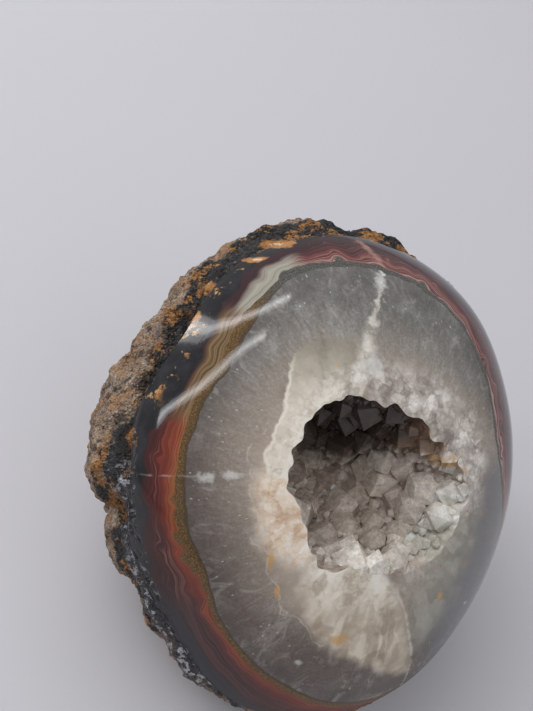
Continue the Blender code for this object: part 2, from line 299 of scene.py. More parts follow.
def plate_share(around, down):
    """1 on the thick plate of outer crust and 0 off it, with broken edges."""
    across, depth = np.degrees(around), np.degrees(down)
    spots = np.stack([across, depth, np.zeros_like(across)], axis=-1)
    ragged = depth + PLATE_WANDER * rough(spots, PLATE_WANDER_SIZE)
    top = round_values(RIND_STARTS, around) + PLATE_GAP
    first, last = PLATE_SIDES
    sides = smooth_step(first - PLATE_EDGE, first + PLATE_EDGE, across)
    sides -= smooth_step(last - PLATE_EDGE, last + PLATE_EDGE, across)
    return sides * (smooth_step(top, top + 2 * PLATE_EDGE, ragged) - smooth_step(*PLATE_BACK, ragged))


def crevice(around, past):
    """1 in the gap between the polished edge and the plate of crust, where the rind is darkened as painted
    shade.
    """
    across = np.degrees(around)
    wander = sum(height * np.sin(across * pace + start) for height, pace, start in CREVICE_WAVES)
    deepest = np.exp(-(((past - CREVICE_AT - wander) / CREVICE_WIDTH) ** 2))
    return between(CREVICE_STARTS, CREVICE_STOPS, across) * deepest


def rind_points(around, down):
    """The rough rind and how far past its rim it is: the solid's relief, with finer relief of its own."""
    smooth = form_points(around, down)
    past = np.degrees(down) - round_values(RIND_STARTS, around)
    share = smooth_step(0, RIND_RISE, past)
    lumps = LUMP_HEIGHT * rough(smooth, LUMP_SIZE)
    knobs = KNOB_HEIGHT * rough(smooth, KNOB_SIZE, (7, 0, 0))
    pits = PIT_DEPTH * smooth_step(*PIT_LEVELS, rough(smooth, PIT_SIZE, (0, 13, 0)))
    relief = share * (RIND_BASE + lumps + knobs - pits) + PLATE_HEIGHT * plate_share(around, down)
    grain = sum(
        height * (0.5 - 2 * np.abs(rough(smooth, size, (0, 0, 5 * size))))
        for size, height in zip(GRAIN_SIZES, GRAIN_HEIGHTS)
    )
    relief += smooth_step(0, GRAIN_RISE, past) * (grain - GRAIN_SINK) - CREVICE_DEPTH * crevice(around, past)
    across = np.degrees(around)
    knobs = sum(height * np.exp(-(((across - angle) / width) ** 2)) for angle, width, height in RIM_KNOBS)
    relief += knobs * between((0, RIM_KNOB_RISE), RIM_KNOB_ENDS, past)
    return smooth + directions(around, down) * relief[..., None], past


def hollow_points(around, sink, outside):
    """Points of the hollow's wall: sink is 0 above the mouth and 1 on the floor, outside moves them out."""
    gentle = np.maximum(0.0, np.cos(around - GENTLE_TOWARDS)) ** GENTLE_SPREAD
    power = STEEP_WALL + (GENTLE_WALL - STEEP_WALL) * gentle
    reach = (round_values(MOUTH_RADII, around) + outside) * np.sqrt(np.maximum(0.0, 1 - sink**power))
    height = HOLLOW_TOP + (HOLLOW_FLOOR - outside - HOLLOW_TOP) * sink
    u, v = (middle + shift * (sink - LID_SHARE) for middle, shift in zip(MOUTH_MIDDLE, HOLLOW_SHIFT))
    return np.stack([u + reach * np.cos(around), v + reach * np.sin(around), height + 0 * reach], axis=-1)


def mouth_edge(outside_at):
    """Where the hollow's wall meets the dome at each column: angle down, the wall's own angle and sink."""
    own = np.linspace(0, TURN, 2 * COLUMNS, endpoint=False)
    outside = outside_at(own)
    low, high = np.zeros_like(own), np.full_like(own, DEEPEST_EDGE)
    for _ in range(HALVINGS):
        middle = (low + high) / 2
        points = hollow_points(own, middle, outside)
        above = np.linalg.norm(points, axis=-1) > form_radius(*angles_of(points))
        low, high = np.where(above, middle, low), np.where(above, high, middle)
    around, down = angles_of(hollow_points(own, low, outside))
    turned = np.unwrap(around)
    if turned[0] > math.pi:
        turned -= TURN
    columns = np.arange(COLUMNS) * TURN / COLUMNS
    order = np.argsort(turned % TURN)

    def at_columns(values):
        return np.interp(columns, (turned % TURN)[order], values[order], period=TURN)

    offset = (own - turned + math.pi) % TURN - math.pi
    return at_columns(down), (columns + at_columns(offset)) % TURN, at_columns(low)


def mouth_jag(around):
    """How far the broken edge of the mouth strays from its smooth curve."""
    reach = round_values(MOUTH_RADII, around)
    spots = np.stack([reach * np.cos(around), reach * np.sin(around), np.zeros_like(around)], axis=-1)
    return sum(height * 2 * rough(spots, size, (3, 1, 0)) for height, size in zip(JAG_HEIGHTS, JAG_SIZES))


# Meshes.


def to_part(points):
    """Face frame in millimetres to the part's frame in metres, flat where it stands and kept in its box."""
    placed = (points @ np.array(STANDING.transposed()) + np.array(MIDDLE)) * MM
    return np.clip(placed, np.array(cad_low), np.array(cad_high))


def grid_faces(rows, columns):
    """Quads over rows of points, closed round the columns."""
    faces = []
    for row in range(rows - 1):
        for column in range(columns):
            after = (column + 1) % columns
            faces.append((row * columns + column, (row + 1) * columns + column,
                          (row + 1) * columns + after, row * columns + after))
    return faces


def add_object(name, data):
    made = bpy.data.objects.new(name, data)
    bpy.context.scene.collection.objects.link(made)
    return made


def object_of(shape, name):
    """Turns a finished shape into a mesh object."""
    data = bpy.data.meshes.new(name)
    shape.to_mesh(data)
    shape.free()
    return add_object(name, data)


def new_mesh(name, points, faces, marks):
    """A smooth mesh object with its marks, such as face or band, stored on its points."""
    data = bpy.data.meshes.new(name)
    data.from_pydata(points.reshape(-1, 3).tolist(), [], faces)
    for mark, values in marks.items():
        values = np.asarray(values, np.float32)
        if values.shape[-1] == 3 and values.ndim > 2:
            data.attributes.new(mark, "FLOAT_VECTOR", "POINT").data.foreach_set("vector", values.reshape(-1))
        else:
            data.attributes.new(mark, "FLOAT", "POINT").data.foreach_set("value", values.reshape(-1))
    data.shade_smooth()
    return add_object(name, data)


def ring_marks(points):
    """Cosine and sine of the angle round the mouth's middle, and the distance from it."""
    across, along = points[..., 0] - MOUTH_MIDDLE[0], points[..., 1] - MOUTH_MIDDLE[1]
    away = np.maximum(np.hypot(across, along), 1e-6)
    return np.stack([across / away, along / away, away], axis=-1)


def away_from_mouth(points):
    """Distance outside the mouth's smooth outline."""
    across, along = points[..., 0] - MOUTH_MIDDLE[0], points[..., 1] - MOUTH_MIDDLE[1]
    return np.hypot(across, along) - round_values(MOUTH_RADII, np.arctan2(along, across) % TURN)


def face_marks(points, band):
    """What the polished material reads at each point of the face."""
    spots = points[..., :2]
    narrow, wide = CRACK_WIDTHS
    marks = {
        "face": points,
        "ring": ring_marks(points),
        "band": band,
        "side": points[..., 0],
        "height": points[..., 1],
        "away": away_from_mouth(points),
        "pits": np.zeros(spots.shape[:-1]),
        "crack_width": narrow + (wide - narrow) * smooth_step(*CRACK_WIDENS, points[..., 1]),
    }
    for measure, shapes in ((area_depth, AREAS), (line_distance, LINES), (spot_strength, SPOTS)):
        marks.update({name: measure(spots, shape) for name, shape in shapes.items()})
    return marks


def band_edges(around):
    """The angles down at which each band of the face ends, the rind's start last."""
    bands = (GRAY_ENDS, OCHRE_ENDS, RED_ENDS, RIND_STARTS)
    return [np.radians(round_values(ends, around)) for ends in bands]


def make_polished_face(columns, seat_down):
    """The polished dome from the crust's edge to the rind, in rows that follow its bands."""
    edges = [seat_down, *band_edges(columns)]
    rows, bands = [edges[0]], [np.zeros_like(columns)]
    for index, count in enumerate(FACE_ROWS):
        for step in range(1, count + 1):
            share = step / count
            rows.append(edges[index] + (edges[index + 1] - edges[index]) * share)
            band = index + share if index else 1 - (1 - share) * GRAY_SPREAD
            bands.append(np.full_like(columns, band))
    bands[0] = np.full_like(columns, 1 - GRAY_SPREAD)
    down, bands = np.array(rows), np.array(bands)
    around = np.broadcast_to(columns, down.shape)
    points = form_points(around, down)
    marks = face_marks(points, bands)
    pits = edge_pits(points, around, bands)
    marks["pits"] = pits
    points = points - directions(around, down) * (EDGE_PIT_DEPTH * pits)[..., None]
    made = new_mesh("polished_face", to_part(points), grid_faces(len(down), COLUMNS), marks)
    normals = polish_normals(points, around, down) @ np.array(STANDING.transposed())
    made.data.normals_split_custom_set_from_vertices(normals.reshape(-1, 3).tolist())
    return made


def edge_pits(points, around, bands):
    """1 in the pits along the polish's outer edge at the left and lower left, and 0 elsewhere."""
    wander = PITTED_WANDER * rough(points, PITTED_WANDER_SIZE, (2, 0, 0))
    share = gloss_share(around) * smooth_step(*PITTED_BANDS, bands + wander)
    share *= smooth_step(*PITTED_END, bands)
    wide, small = (
        smooth_step(*levels, rough(points, size, shift))
        for levels, size, shift in zip(EDGE_PIT_LEVELS, EDGE_PIT_SIZES, ((0, 0, 0), (0, 3, 0)))
    )
    return share * np.maximum(wide, SMALL_PIT_SHARE * small)


def polish_normals(points, around, down):
    """Normals of the polished grid, turned up a little at the low edge, where the real polish is flatter."""
    beside = np.roll(points, -1, axis=1) - np.roll(points, 1, axis=1)
    normals = np.cross(np.gradient(points, axis=0), beside)
    normals /= np.linalg.norm(normals, axis=-1)[..., None]
    pull = FLAT_EDGE_PULL * between(FLAT_EDGE_STARTS, FLAT_EDGE_STOPS, np.degrees(around))
    normals[..., 2] += pull * smooth_step(*np.radians(FLAT_EDGE_DOWN), down)
    return normals / np.linalg.norm(normals, axis=-1)[..., None]


def make_rind(columns):
    """The rough outside, from the polished edge round to the middle of the back."""
    start = np.radians(round_values(RIND_STARTS, columns))
    share = np.linspace(0, 1, RIND_ROWS)[:, None]
    down = start + (math.pi - start) * (RIND_EVEN * share + (1 - RIND_EVEN) * share**RIND_CURVE)
    around = np.broadcast_to(columns, down.shape)
    points, past = rind_points(around, down)
    marks = {
        "face": points,
        "ring": ring_marks(points),
        "past": past,
        "rim": past - round_values(CHARCOAL_WIDTHS, around),
        "crevice": crevice(around, past),
        "glossy": gloss_share(around),
        "inclusions": spot_strength(points[..., :2], SPOTS["inclusions"]),
    }
    return new_mesh("rough_rind", to_part(points), grid_faces(RIND_ROWS, COLUMNS), marks)


def gloss_share(around):
    """1 where the polish runs on over the pitted edge, at the left and lower left."""
    return between(GLOSS_STARTS, GLOSS_STOPS, np.degrees(around))


def make_crust(columns, seat_down, edge):
    """The crust's polished lip and the wall of the hollow behind its crystals."""
    edge_down, own, edge_sink = edge
    lip = [seat_down + (edge_down - seat_down) * step / LIP_ROWS for step in range(LIP_ROWS + 1)]
    lip_down = np.array(lip)
    lip_around = np.broadcast_to(columns, lip_down.shape)
    lip_points = form_points(lip_around, lip_down)
    share = (np.arange(1, WALL_ROWS + 1) / WALL_ROWS)[:, None]
    sink = edge_sink + (DEEPEST_ROW - edge_sink) * share
    outside = mouth_jag(own) * (1 - share) ** JAG_FADE
    wall = hollow_points(np.broadcast_to(own, sink.shape), sink, outside)
    bump = WALL_BUMP * smooth_step(0, WALL_BUMP_RISE, share) * rough(wall, WALL_BUMP_SIZE)
    middle = np.array([*MOUTH_MIDDLE, HOLLOW_TOP])
    inward = middle - wall
    inward /= np.linalg.norm(inward, axis=-1)[..., None]
    wall = wall + inward * bump[..., None]
    points = np.concatenate([lip_points, wall])
    faces = grid_faces(len(points), COLUMNS)
    marks = face_marks(points, np.full(points.shape[:-1], -GRAY_SPREAD))
    made = new_mesh("quartz_crust", to_part(points), faces, marks)
    made.data.set_sharp_from_angle(angle=SHARP_ANGLE)
    inner = np.zeros(len(faces), np.int32)
    inner[LIP_ROWS * COLUMNS:] = 1
    return made, inner


def inward_at(around, sink):
    """The direction straight out of the hollow's wall, into the hollow."""

    def wall(angle, depth):
        return Vector(hollow_points(np.array(angle), np.array(depth), 0.0))

    along = wall(around, min(sink + PROBE, 1.0)) - wall(around, max(sink - PROBE, 0.0))
    across = wall(around + PROBE, sink) - wall(around - PROBE, sink)
    inward = across.cross(along)
    return inward.normalized() if inward.length > 1e-9 else Vector((0, 0, 1))


def crystal_spots(draw, count, tries, spacing, taken):
    """Spots on the hollow's wall, kept apart from each other and from those already taken."""
    spots = []
    for _ in range(tries):
        around = draw.uniform(0, TURN)
        sink = 1 - (1 - HIGHEST_SINK) * draw.random() ** FLOOR_LEAN
        here = Vector(hollow_points(np.array(around), np.array(sink), 0.0))
        if all((here - other).length > room for other, room in taken):
            taken.append((here, spacing))
            spots.append((here, inward_at(around, sink)))
        if len(spots) == count:
            break
    return spots


def add_crystal(shape, here, axis, radius, height, twist):
    """A six-sided prism whose pointed end has faces of alternating slope, as quartz has."""
    prism = bmesh.ops.create_cone(
        shape, cap_ends=True, cap_tris=False, segments=6,
        radius1=radius, radius2=radius, depth=ROOT_DEPTH + height,
    )
    corners = prism["verts"]
    faces = {face for corner in corners for face in corner.link_faces}
    top = max(faces, key=lambda face: face.calc_center_median().z)
    for index, corner in enumerate(top.verts):
        corner.co.z -= CRYSTAL_BEVEL * radius * (index % 2)
    tip = bmesh.ops.poke(shape, faces=[top])["verts"][0]
    tip.co.z += CRYSTAL_TIP * radius
    turn = axis.to_track_quat("Z", "Y").to_matrix().to_4x4() @ Matrix.Rotation(twist, 4, "Z")
    place = Matrix.Translation(here) @ turn @ Matrix.Translation((0, 0, (height - ROOT_DEPTH) / 2))
    bmesh.ops.transform(shape, matrix=place, verts=[*corners, tip])
    return [*corners, tip]


def steepness(here):
    """1 under the mouth's steep, overhanging edges and negative on the gentle slope of crystals."""
    around = math.atan2(here.y - MOUTH_MIDDLE[1], here.x - MOUTH_MIDDLE[0])
    return STEEPEST - STEEPNESS_FALL * max(0.0, math.cos(around - SLOPE_TOWARDS))


def cut_flush(shape, corners):
    """Grinds a crystal off where it would stand out of the polished dome."""
    centre = sum((corner.co for corner in corners), Vector()) / len(corners)
    around, down = angles_of(np.array(centre))
    beside = Vector(form_points(around + PROBE, down)) - Vector(form_points(around - PROBE, down))
    below = Vector(form_points(around, down + PROBE)) - Vector(form_points(around, down - PROBE))
    outward = below.cross(beside).normalized()
    plane = Vector(form_points(around, down)) - outward * FLUSH_GAP
    if all((corner.co - plane).dot(outward) < 0 for corner in corners):
        return
    edges = {edge for corner in corners for edge in corner.link_edges}
    faces = {face for corner in corners for face in corner.link_faces}
    cut = bmesh.ops.bisect_plane(
        shape, geom=[*corners, *edges, *faces], plane_co=plane, plane_no=outward, clear_outer=True
    )
    rim = [part for part in cut["geom_cut"] if isinstance(part, bmesh.types.BMEdge)]
    if len(rim) > 2:
        bmesh.ops.contextual_create(shape, geom=rim)


def grow(shape, draw, spots, radii, usual, shade, palest=1.0):
    """Adds a crystal at each spot and gives all of its points one random shade, up to the palest; the highest
    shades become painted glints.
    """
    for here, inward in spots:
        aside = Vector([draw.uniform(-1, 1) for _ in range(3)]).cross(inward)
        axis = (inward + aside * math.tan(CRYSTAL_LEAN) * draw.random()).normalized()
        radius = draw.triangular(*radii, usual)
        height = radius * draw.uniform(*CRYSTAL_HEIGHTS)
        twist = draw.uniform(0, math.pi / 3)
        tone = palest * draw.random()
        depth = form_radius(*angles_of(np.array(here))) - here.length
        if depth < max(LIP_CLEARANCE + radius * steepness(here), GENTLE_CLEARANCE * radius):
            continue
        corners = add_crystal(shape, here, axis, radius, height, twist)
        for corner in corners:
            corner[shade] = tone
        cut_flush(shape, corners)


def make_crystals():
    """The quartz points: the solid's own large ones, and many small ones that fill in between them."""
    shape = bmesh.new()
    shade = shape.verts.layers.float.new("shade")
    draw = random.Random(CRYSTAL_SEED)
    taken = []
    large = crystal_spots(draw, CRYSTAL_COUNT, CRYSTAL_TRIES, CRYSTAL_SPACING, taken)
    grow(shape, draw, large, CRYSTAL_RADII, CRYSTAL_RADII[0] * USUAL_LARGE, shade, GLINT_TONE)
    draw = random.Random(SMALL_SEED)
    taken = [(here, CRYSTAL_SPACING / 2) for here, _ in large]
    small = crystal_spots(draw, SMALL_COUNT, SMALL_TRIES, SMALL_SPACING, taken)
    grow(shape, draw, small, SMALL_RADII, SMALL_RADII[0] * USUAL_SMALL, shade)
    bmesh.ops.recalc_face_normals(shape, faces=shape.faces)
    bmesh.ops.bevel(
        shape, geom=shape.edges[:], offset=WORN_EDGE, segments=1, affect="EDGES", clamp_overlap=True
    )
    face = shape.verts.layers.float_vector.new("face")
    deep = shape.verts.layers.float.new("deep")
    for corner in shape.verts:
        corner[face] = corner.co
        corner[deep] = form_radius(*angles_of(np.array(corner.co))) - corner.co.length
    shape.transform(Matrix.Scale(MM, 4) @ Matrix.Translation(MIDDLE) @ STANDING.to_4x4())
    return object_of(shape, "quartz_points")


# Materials.


class Wire:
    """A value inside a material, which comes first in a sum, as if it were a number."""

    def __init__(self, finish, socket):
        self.finish = finish
        self.socket = socket

    def __add__(self, other):
        return self.finish.reckon("ADD", self, other)

    def __sub__(self, other):
        return self.finish.reckon("SUBTRACT", self, other)

    def __mul__(self, other):
        return self.finish.reckon("MULTIPLY", self, other)


class Finish:
    """One material, with short calls for the nodes it is made of."""

    def __init__(self, name):
        self.material = bpy.data.materials.new(name)
        self.material.use_nodes = True
        self.tree = self.material.node_tree
        self.surface = self.tree.nodes["Principled BSDF"]

    def feed(self, socket, value):
        if isinstance(value, Wire):
            self.tree.links.new(value.socket, socket)
        elif socket.type == "RGBA":
            socket.default_value = (*value[:3], 1)
        else:
            socket.default_value = value

    def node(self, kind, values=(), **settings):
        made = self.tree.nodes.new("ShaderNode" + kind)
        for name, value in settings.items():
            setattr(made, name, value)
        for name, value in dict(values).items():
            self.feed(made.inputs[name], value)
        return made

    def reckon(self, operation, first, second=0.0, kind="Math"):
        made = self.node(kind, {0: first, 1: second}, operation=operation)
        return Wire(self, made.outputs[0])

    def mark(self, name, vector=False):
        made = self.node("Attribute", attribute_name=name)
        return Wire(self, made.outputs["Vector" if vector else "Fac"])

    def stretch(self, vector, scale):
        return self.reckon("MULTIPLY", vector, scale, "VectorMath")

    def shifted(self, vector, shift):
        return self.reckon("ADD", vector, shift, "VectorMath")

    def noise(self, vector, scale, detail, roughness=0.5, bend=0.0):
        values = {"Vector": vector, "Scale": scale, "Detail": detail, "Roughness": roughness}
        return Wire(self, self.node("TexNoise", {**values, "Distortion": bend}).outputs[0])

    def strands(self, ring, fineness, along, roughness, bend=0.0):
        """Noise drawn out into strands that point away from the hollow."""
        return self.noise(self.stretch(ring, (fineness, fineness, along)), 1.0, 4.0, roughness, bend)

    def field(self, vector, scale):
        """Three noises at once, as a vector from -0.5 to 0.5."""
        made = self.node("TexNoise", {"Vector": vector, "Scale": scale, "Detail": 2.0})
        return self.shifted(Wire(self, made.outputs["Color"]), (-0.5, -0.5, -0.5))

    def cells(self, vector, scale, feature="F1", part="Distance"):
        made = self.node("TexVoronoi", {"Vector": vector, "Scale": scale}, feature=feature)
        return Wire(self, made.outputs[part])

    def step(self, value, low, high, to_low=0.0, to_high=1.0):
        values = {"Value": value, "From Min": low, "From Max": high, "To Min": to_low, "To Max": to_high}
        return Wire(self, self.node("MapRange", values, interpolation_type="SMOOTHSTEP").outputs[0])

    def mix(self, share, first, second, blend="MIX"):
        made = self.node("Mix", data_type="RGBA", blend_type=blend, clamp_factor=True)
        self.feed(made.inputs[0], share)
        self.feed(made.inputs[6], first)
        self.feed(made.inputs[7], second)
        return Wire(self, made.outputs[2])

    def ramp(self, value, stops):
        """A colour that runs through stops, each (place, red, green, blue)."""
        made = self.node("ValToRGB", {"Fac": value})
        points = made.color_ramp.elements
        while len(points) < len(stops):
            points.new(0.5)
        for point, (place, *colour) in zip(points, stops):
            point.position = place
            point.color = (*colour, 1)
        return Wire(self, made.outputs[0])

    def bump(self, height, depth_mm, strength):
        made = self.node("Bump", {"Height": height, "Distance": depth_mm * MM, "Strength": strength})
        return Wire(self, made.outputs[0])

    def finish(self, **values):
        for name, value in values.items():
            self.feed(self.surface.inputs[name.replace("_", " ")], value)
        return self.material


def near(finish, distance, width):
    """1 on a line and 0 farther from it than width."""
    return finish.step(distance, width, 0.0)


def crystal_streaks(finish, face, ring, fineness):
    """Brightness of narrow crystals that stand side by side and point away from the hollow."""
    bend = finish.stretch(finish.field(face, 0.5), (0.9, 0.9, 0.9))
    place = finish.shifted(finish.stretch(ring, (fineness, fineness, 0.33)), bend)
    values = {"Vector": place, "Scale": 1.0, "Smoothness": 0.35}
    return Wire(finish, finish.node("TexVoronoi", values, feature="SMOOTH_F1").outputs["Color"])


def broken_crystals(finish, face):
    """Brightness of a crowd of small broken crystals: lumps of two sizes, each with a tone of its own."""
    place = finish.shifted(face, finish.field(face, 0.9))
    lumps = finish.cells(place, 0.42, "F1", "Color") * 0.28 + finish.cells(place, 0.42) * -0.34
    chips = finish.cells(place, 1.4, "F1", "Color") * 0.26 + finish.cells(place, 1.4) * -0.14
    return lumps + chips + finish.noise(place, 1.8, 4.0, 0.7) * 0.45 + 0.17


def gray_quartz(finish, face, ring, bands, sine):
    """Gray quartz: dark and fibrous by the ochre band, paler towards the hollow, with fine pale specks."""
    fibres = finish.strands(ring, 42, 0.6, 0.7, 0.4)
    clouds = finish.noise(face, 0.22, 4.0, 0.6)
    grains = finish.noise(face, 2.6, 3.0, 0.7)
    colour = finish.ramp(clouds * 0.5 + fibres * 0.2 + grains * 0.3, (
        (0.36, 0.082, 0.06, 0.051), (0.5, 0.135, 0.103, 0.089), (0.64, 0.23, 0.19, 0.167)))
    upper = finish.step(sine, 0.1, 0.9)
    cool = finish.ramp(clouds * 0.42 + fibres * 0.34 + grains * 0.24, (
        (0.38, 0.12, 0.118, 0.11), (0.5, 0.192, 0.188, 0.176), (0.64, 0.34, 0.335, 0.32)))
    colour = finish.mix(upper * 0.8, colour, cool)
    edge = finish.step(bands + fibres * 1.6, -0.6, 1.3)
    colour = finish.mix(edge * 0.4, colour, (0.07, 0.062, 0.058))
    away = finish.mark("away") + clouds * 9 - 4.5
    halo = finish.ramp(fibres * 0.3 + grains * 0.3 + clouds * 0.4, (
        (0.36, 0.27, 0.22, 0.175), (0.5, 0.37, 0.31, 0.255), (0.64, 0.5, 0.44, 0.375)))
    colour = finish.mix(finish.step(away, 12.5, 4.0) * 0.85, colour, halo)
    wisps = finish.strands(ring, 12, 0.3, 0.7, 1.0)
    colour = finish.mix(finish.step(wisps, 0.52, 0.7) * 0.38, colour, (0.45, 0.42, 0.39))
    dashes = finish.step(finish.cells(finish.stretch(ring, (32, 32, 0.75)), 1.0), 0.17, 0.07)
    thin_out = finish.step(finish.noise(face, 0.35, 2.0), 0.45, 0.62)
    return finish.mix(dashes * thin_out * 0.6, colour, (0.62, 0.6, 0.57))


def pale_quartz(finish, colour, face, ring, wave):
    """The paler quartz round the hollow: warm, peach, cream and veiled areas and the fan below the mouth."""
    height = finish.mark("height")
    away = finish.mark("away") + wave * 3
    streaks = crystal_streaks(finish, face, ring, 8.0)
    fine = crystal_streaks(finish, face, ring, 22.0)
    crowd = broken_crystals(finish, face)
    by_mouth = finish.step(away, 4.5, 0.5)

    warm = finish.mark("warm") + wave * 2.0
    colour = finish.mix(finish.step(warm, -0.8, 2.4) * 0.75, colour, (0.45, 0.365, 0.3))
    patchy = finish.step(finish.noise(face, 0.6, 2.0), 0.35, 0.6)
    border = near(finish, finish.reckon("ABSOLUTE", warm), 0.22) * patchy
    colour = finish.mix(border * 0.5, colour, (0.62, 0.55, 0.47))

    veil = finish.step(finish.mark("veil") + wave * 3, -2.5, 1.5) * finish.step(away, 9.0, 3.0)
    veil = veil * finish.step(height + wave * 4, -9.0, 1.0, 0.35, 1.0)
    veiled = finish.ramp(crowd * 0.75 + streaks * 0.25, (
        (0.24, 0.25, 0.21, 0.185), (0.42, 0.5, 0.44, 0.395), (0.62, 0.88, 0.83, 0.77)))
    colour = finish.mix(veil * 0.9, colour, veiled)

    peach = finish.step(finish.mark("peach") + wave * 2, -1.2, 1.8)
    peach_tone = finish.noise(face, 0.5, 3.0) * 0.3 + fine * 0.15 + crowd * 0.55
    peach_colour = finish.ramp(peach_tone, (
        (0.28, 0.6, 0.4, 0.26), (0.45, 0.84, 0.68, 0.53), (0.62, 0.96, 0.9, 0.82)))
    colour = finish.mix(peach * 0.9, colour, peach_colour)

    fan = finish.step(finish.mark("fan") + wave * 2, -1.0, 1.0)
    fan_tone = streaks * 0.2 + fine * 0.25 + finish.noise(face, 0.3, 2.0) * 0.35 + crowd * 0.2
    fan_colour = finish.ramp(fan_tone, (
        (0.3, 0.38, 0.3, 0.22), (0.48, 0.58, 0.485, 0.375), (0.64, 0.84, 0.74, 0.61)))
    fan_top = finish.ramp(crowd * 0.6 + streaks * 0.4, (
        (0.25, 0.52, 0.44, 0.36), (0.42, 0.82, 0.74, 0.63), (0.58, 0.95, 0.91, 0.82)))
    fan_colour = finish.mix(finish.step(away, 7.5, 1.5) * 0.85, fan_colour, fan_top)
    colour = finish.mix(fan * 0.85, colour, fan_colour)

    side = finish.mark("side") + wave * 4
    cream = finish.step(finish.mark("cream") + wave * 1.6, -0.1, 0.3)
    cream = cream * finish.step(side, 4.5, -2.5, 0.25, 1.0)
    cream = cream * finish.step(height + wave * 5, 21.0, 15.5, 0.4, 1.0)
    cream_colour = finish.mix(finish.step(height, 19.5, 9.0), (0.31, 0.28, 0.222), (0.7, 0.62, 0.525))
    grained = finish.ramp(streaks * 0.2 + fine * 0.2 + finish.noise(face, 0.7, 3.0) * 0.2 + crowd * 0.4, (
        (0.25, 0.7, 0.68, 0.66), (0.45, 1.0, 1.0, 1.0), (0.68, 1.2, 1.2, 1.2)))
    cream_colour = finish.mix(1.0, cream_colour, grained, "MULTIPLY")
    bright = by_mouth * finish.step(crowd, 0.3, 0.55)
    cream_colour = finish.mix(bright * 0.7, cream_colour, (0.88, 0.83, 0.75))
    colour = finish.mix(cream * 0.97, colour, cream_colour)
    crisp = near(finish, finish.reckon("ABSOLUTE", finish.mark("cream") + wave * 1.6 - 0.35), 0.35)
    crisp = crisp * finish.step(side, -4.0, -6.0) * finish.step(height, 18.0, 14.0)
    return finish.mix(crisp * 0.6, colour, (0.86, 0.81, 0.72))


def ochre_band(finish, face, cosine, sine, inner):
    """The thin speckled band inside the red: ochre at the left, grayish at the top and the right."""
    grains = finish.noise(face, 5.0, 2.0, 0.6)
    ochre = finish.ramp(grains, (
        (0.36, 0.065, 0.034, 0.012), (0.52, 0.125, 0.068, 0.02), (0.68, 0.22, 0.125, 0.04)))
    ochre = finish.mix(finish.step(inner, 0.45, 0.05) * 0.7, ochre, (0.05, 0.036, 0.022))
    right = finish.step(cosine, -0.58, -0.36) * finish.step(sine, -0.2, 0.2)
    grayish = finish.ramp(grains, ((0.4, 0.05, 0.048, 0.042), (0.65, 0.13, 0.125, 0.11)))
    return finish.mix(right, ochre, grayish)


def layered(finish, ring, bands, count):
    """Noise drawn out into thin layers that follow the bands."""
    layers = Wire(finish, finish.node("CombineXYZ", {"X": bands * count}).outputs[0])
    return finish.noise(finish.shifted(finish.stretch(ring, (1.0, 1.0, 0)), layers), 1.0, 4.0, 0.65)


def red_bands(finish, face, ring, bands, cosine, sine):
    """Fine red bands: red at the left, gold-brown above, mauve with pink and pale green lines at the top."""
    fine = layered(finish, ring, bands, 9.0)
    finest = layered(finish, ring, bands, 22.0)
    across = bands - 2.0
    cloud = finish.noise(face, 0.25, 2.0)
    lower = finish.step(sine, 0.1, -0.5, 0.0, 0.18)
    red = finish.ramp(across * 0.7 + fine * 0.6 + finest * 0.7 + cloud * 0.1 + lower - 0.67, (
        (0.05, 0.3, 0.11, 0.03), (0.15, 0.26, 0.06, 0.02), (0.28, 0.17, 0.028, 0.015),
        (0.44, 0.085, 0.011, 0.008), (0.68, 0.035, 0.007, 0.007)))
    pale_line = finish.step(fine, 0.58, 0.63) * finish.step(fine, 0.72, 0.66)
    red = finish.mix(pale_line * 0.3, red, (0.42, 0.19, 0.13))
    mauve = finish.ramp(fine * 0.9 + finest * 0.9 - across * 0.52 - 0.29, (
        (0.3, 0.036, 0.013, 0.015), (0.43, 0.115, 0.034, 0.032), (0.54, 0.23, 0.085, 0.072),
        (0.66, 0.42, 0.28, 0.24)))
    pale_green = finish.ramp(fine, (
        (0.35, 0.22, 0.205, 0.17), (0.6, 0.42, 0.39, 0.32), (0.75, 0.55, 0.52, 0.45)))
    green_share = finish.step(cosine, -0.22, -0.32) * finish.step(cosine, -0.66, -0.54)
    green_share = green_share * finish.step(sine, 0.0, 0.2) * finish.step(across, 0.7, 0.4)
    mauve = finish.mix(green_share, mauve, pale_green)
    gold = finish.ramp(fine, (
        (0.32, 0.055, 0.035, 0.02), (0.5, 0.17, 0.1, 0.042), (0.68, 0.3, 0.205, 0.1)))
    gold_share = finish.step(cosine, -0.56, -0.66) * finish.step(sine, 0.3, 0.42)
    top = finish.step(sine + cosine * 0.55, -0.05, 0.3)
    colour = finish.mix(top, red, mauve)
    colour = finish.mix(gold_share * finish.step(across, 1.0, 0.5), colour, gold)
    low = finish.step(sine, -0.36, -0.62)
    plum = finish.ramp(finest, ((0.38, 0.03, 0.013, 0.015), (0.62, 0.095, 0.036, 0.034)))
    plum = finish.mix(finish.step(across, 0.45, 0.75), plum, (0.026, 0.025, 0.03))
    lowest = finish.step(sine, -0.86, -0.97, 1.0, 0.3)
    return finish.mix(low * lowest * finish.step(across, 0.02, 0.3) * 0.92, colour, plum)


def with_inclusions(finish, face, colour):
    """Orange inclusions by the upper rim, white in their middle."""
    strength = finish.mark("inclusions") + finish.noise(face, 1.4, 3.0) * 1.2 - 0.6
    colour = finish.mix(finish.step(strength, -0.1, 0.3), colour, (0.42, 0.19, 0.055))
    return finish.mix(finish.step(strength, 0.65, 0.9) * 0.85, colour, (0.72, 0.6, 0.48))


